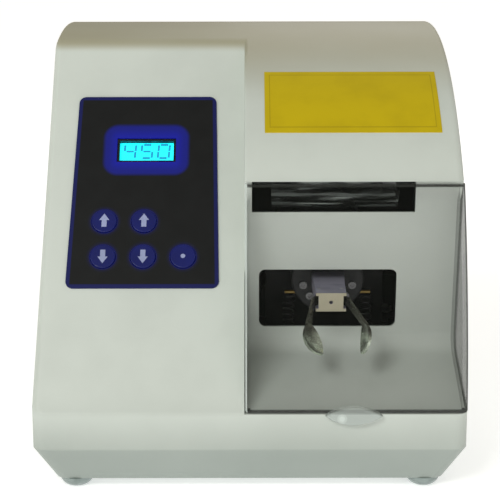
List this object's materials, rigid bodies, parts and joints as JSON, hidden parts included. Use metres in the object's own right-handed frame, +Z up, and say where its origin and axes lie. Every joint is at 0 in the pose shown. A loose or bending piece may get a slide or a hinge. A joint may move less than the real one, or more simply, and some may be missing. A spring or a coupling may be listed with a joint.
{
  "type": "dental amalgamator",
  "caption": "Bench dental amalgamator: pale green-grey case with sloping keypad and display, clear hinged visor over a chamber where a motor-driven arm shakes a sprung capsule fork.",
  "frame": {"origin": "on the table, under the middle of the whole outline", "axes": "+Z up, -Y to the front with the keypad and visor, +X to the right seen from the front"},
  "size_m": [0.2, 0.2206, 0.207],
  "materials": {
    "case_enamel": "fine satin moulded paint",
    "foot_rubber": "matte",
    "foot_pad": "clear grey, glossy",
    "screw_steel": "zinc plated",
    "clear_visor": "clear polished acrylic",
    "pin_steel": "ground",
    "magnet": "nickel plated",
    "sensor_black": "matte",
    "keypad_film": "fine textured film",
    "button_blue": "domed film",
    "switch_black": "satin",
    "board_green": "solder mask",
    "display_cyan": "lit display",
    "label_yellow": "printed film",
    "zinc_plate": "zinc plated sheet",
    "spring_steel": "oiled wire",
    "motor_zinc": "plated drawn can",
    "hub_steel": "turned",
    "winding_copper": "lacquered winding",
    "arm_cast": "satin cast",
    "anchor_brass": "turned",
    "head_plastic": "moulded, cream",
    "finger_steel": "polished spring strip",
    "transformer_iron": "varnished laminations",
    "capacitor_sleeve": "shrink sleeve",
    "heat_sink_black": "black anodised",
    "ribbon_grey": "flexible",
    "rocker_black": "gloss"
  },
  "bodies": {
    "case": {"upper_case": "case_enamel", "base_pan": "case_enamel", "feet": "foot_pad", "case_screws": "screw_steel", "hinge_pin": "pin_steel", "hinge_clips": "pin_steel", "visor_sensor": "sensor_black", "keypad_overlay": "keypad_film", "display_window": "clear_visor", "key_switches": "switch_black", "control_board": "board_green", "board_screws": "screw_steel", "lcd_frame": "switch_black", "lcd_glass": "display_cyan", "control_chips": "switch_black", "hood_label": "label_yellow", "isolator_posts": "pin_steel", "isolator_bumpers": "foot_rubber", "isolator_nuts": "screw_steel", "power_board": "board_green", "power_board_screws": "screw_steel", "transformer": "transformer_iron", "capacitors": "capacitor_sleeve", "heat_sink": "heat_sink_black", "ribbon_cable": "ribbon_grey", "inlet_socket": "switch_black", "inlet_blades": "anchor_brass", "inlet_screws": "screw_steel", "rocker_frame": "switch_black", "fuse_holder": "switch_black", "fuse_cap": "switch_black"},
    "visor": {"safety_visor": "clear_visor", "visor_magnet": "magnet"},
    "speed_up_button": {"speed_up_button": "button_blue"},
    "speed_down_button": {"speed_down_button": "button_blue"},
    "time_up_button": {"time_up_button": "button_blue"},
    "time_down_button": {"time_down_button": "button_blue"},
    "start_button": {"start_button": "button_blue"},
    "rocker": {"rocker_button": "rocker_black"},
    "carriage": {"carriage_plate": "zinc_plate", "motor_bracket": "zinc_plate", "bracket_screws": "screw_steel", "motor_can": "motor_zinc", "motor_screws": "screw_steel", "motor_cap": "switch_black", "centring_springs": "spring_steel", "isolator_springs": "spring_steel"},
    "rotor": {"motor_armature": "winding_copper", "motor_shaft": "pin_steel", "drive_hub": "hub_steel"},
    "arm": {"swing_arm": "arm_cast", "journal_bearing": "pin_steel", "drum_screws": "screw_steel", "spring_anchors": "anchor_brass", "capsule_head": "head_plastic", "finger_pins": "pin_steel", "finger_springs": "spring_steel"},
    "left_finger": {"left_finger": "finger_steel"},
    "right_finger": {"right_finger": "finger_steel"}
  },
  "joints": [
    {"name": "visor_hinge", "type": "hinge", "parent": "case", "child": "visor", "pos_m": [0.04, -0.06025, 0.1445], "axis": [-1, 0, 0], "range_deg": [0, 78]},
    {"name": "speed_up_button_press", "type": "slide", "parent": "case", "child": "speed_up_button", "axis": [0, 0.8018, -0.5976], "range_m": [0, 0.0008], "stiffness_N_per_m": 2500},
    {"name": "speed_down_button_press", "type": "slide", "parent": "case", "child": "speed_down_button", "axis": [0, 0.8018, -0.5976], "range_m": [0, 0.0008], "stiffness_N_per_m": 2500},
    {"name": "time_up_button_press", "type": "slide", "parent": "case", "child": "time_up_button", "axis": [0, 0.8018, -0.5976], "range_m": [0, 0.0008], "stiffness_N_per_m": 2500},
    {"name": "time_down_button_press", "type": "slide", "parent": "case", "child": "time_down_button", "axis": [0, 0.8018, -0.5976], "range_m": [0, 0.0008], "stiffness_N_per_m": 2500},
    {"name": "start_button_press", "type": "slide", "parent": "case", "child": "start_button", "axis": [0, 0.8018, -0.5976], "range_m": [0, 0.0008], "stiffness_N_per_m": 2500},
    {"name": "mains_rocker", "type": "hinge", "parent": "case", "child": "rocker", "pos_m": [-0.018, 0.10025, 0.052], "axis": [-1, 0, 0], "range_deg": [0, 16]},
    {"name": "carriage_float", "type": "slide", "parent": "case", "child": "carriage", "axis": [0, 0, 1], "range_m": [-0.002, 0.002], "stiffness_N_per_m": 20000, "springref_m": 0.0006, "deforming": ["isolator_springs"]},
    {"name": "motor_spin", "type": "hinge", "parent": "carriage", "child": "rotor", "pos_m": [0.0382, -0.03275, 0.091], "axis": [0, 1, 0], "continuous": true},
    {"name": "arm_swing", "type": "hinge", "parent": "carriage", "child": "arm", "pos_m": [0.0382, -0.03275, 0.091], "axis": [0, -0.1392, 0.9903], "range_deg": [-8, 8], "stiffness_Nm_per_rad": 2},
    {"name": "left_finger_spread", "type": "hinge", "parent": "arm", "child": "left_finger", "pos_m": [0.0329, -0.07286, 0.08536], "axis": [0, 0.1392, -0.9903], "range_deg": [0, 9], "stiffness_Nm_per_rad": 0.3},
    {"name": "right_finger_spread", "type": "hinge", "parent": "arm", "child": "right_finger", "pos_m": [0.0435, -0.07286, 0.08536], "axis": [0, -0.1392, 0.9903], "range_deg": [0, 9], "stiffness_Nm_per_rad": 0.3}
  ]
}
